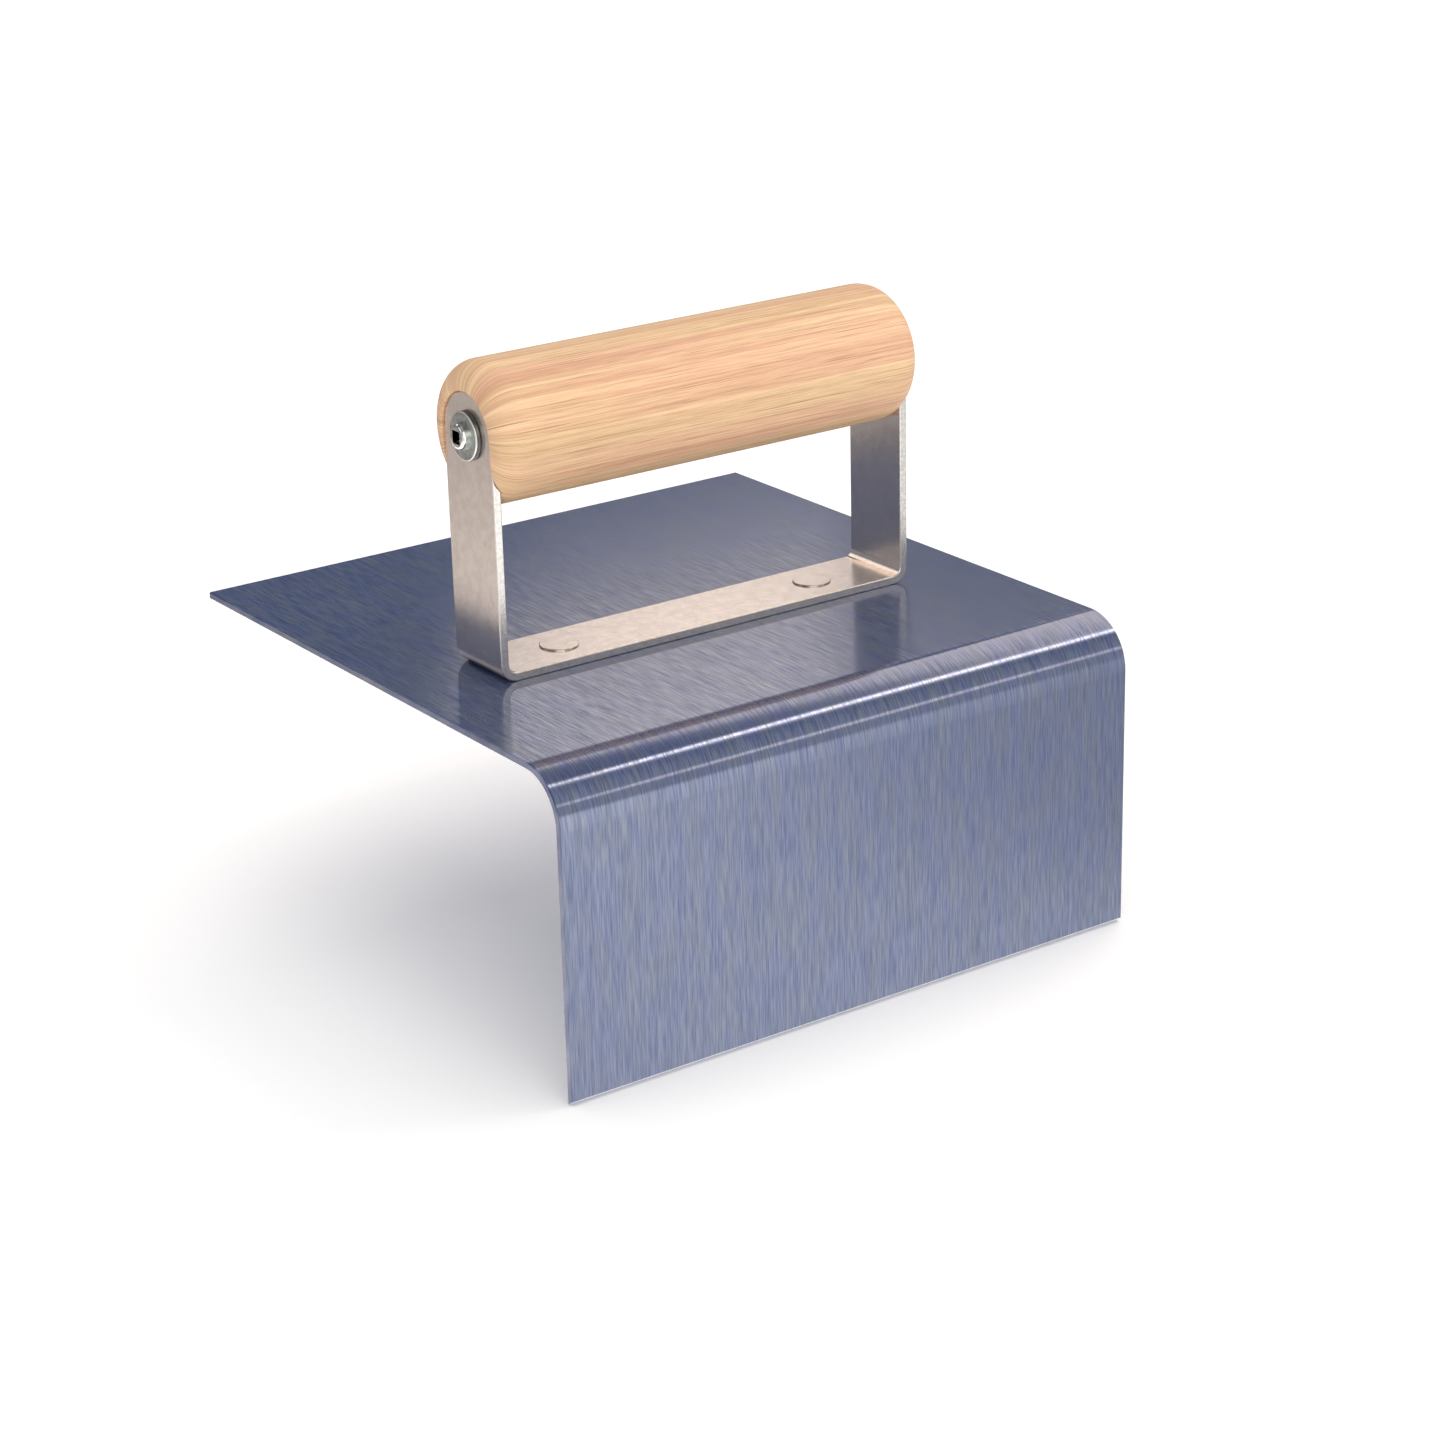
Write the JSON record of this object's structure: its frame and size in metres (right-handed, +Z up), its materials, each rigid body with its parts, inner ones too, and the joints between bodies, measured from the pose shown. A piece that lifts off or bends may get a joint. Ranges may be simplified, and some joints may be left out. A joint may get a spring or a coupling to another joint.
{
  "type": "outside step trowel",
  "caption": "Bent steel plate with a rounded nose and a turned-down riser that finishes a concrete step's edge, carried by a wooden grip on a U-shaped steel bracket.",
  "frame": {"origin": "on the working face, which is the underside of the level plate, straight below the middle of the grip", "axes": "+X along the nose and the grip, +Y from the riser plate towards the rear edge of the level plate, +Z up out of the back of the level plate towards the grip"},
  "size_m": [0.1524, 0.1516, 0.1439],
  "materials": {
    "blade_steel": "straight fine brushing front to back, bluish",
    "strap_steel": "tumbled, matt, faintly mottled",
    "rivet_steel": "pressed flat with the strap, matt",
    "washer_zinc": "zinc plated, satin",
    "screw_zinc": "bright zinc plated",
    "grip_wood": "turned pale hardwood, sanded, thin clear coat"
  },
  "bodies": {
    "root": {"blade": "blade_steel", "handle_bracket": "strap_steel", "wood_handle": "grip_wood", "left_rivet": "rivet_steel", "right_rivet": "rivet_steel", "left_washer": "washer_zinc", "right_washer": "washer_zinc", "left_handle_screw": "screw_zinc", "right_handle_screw": "screw_zinc"}
  },
  "joints": []
}
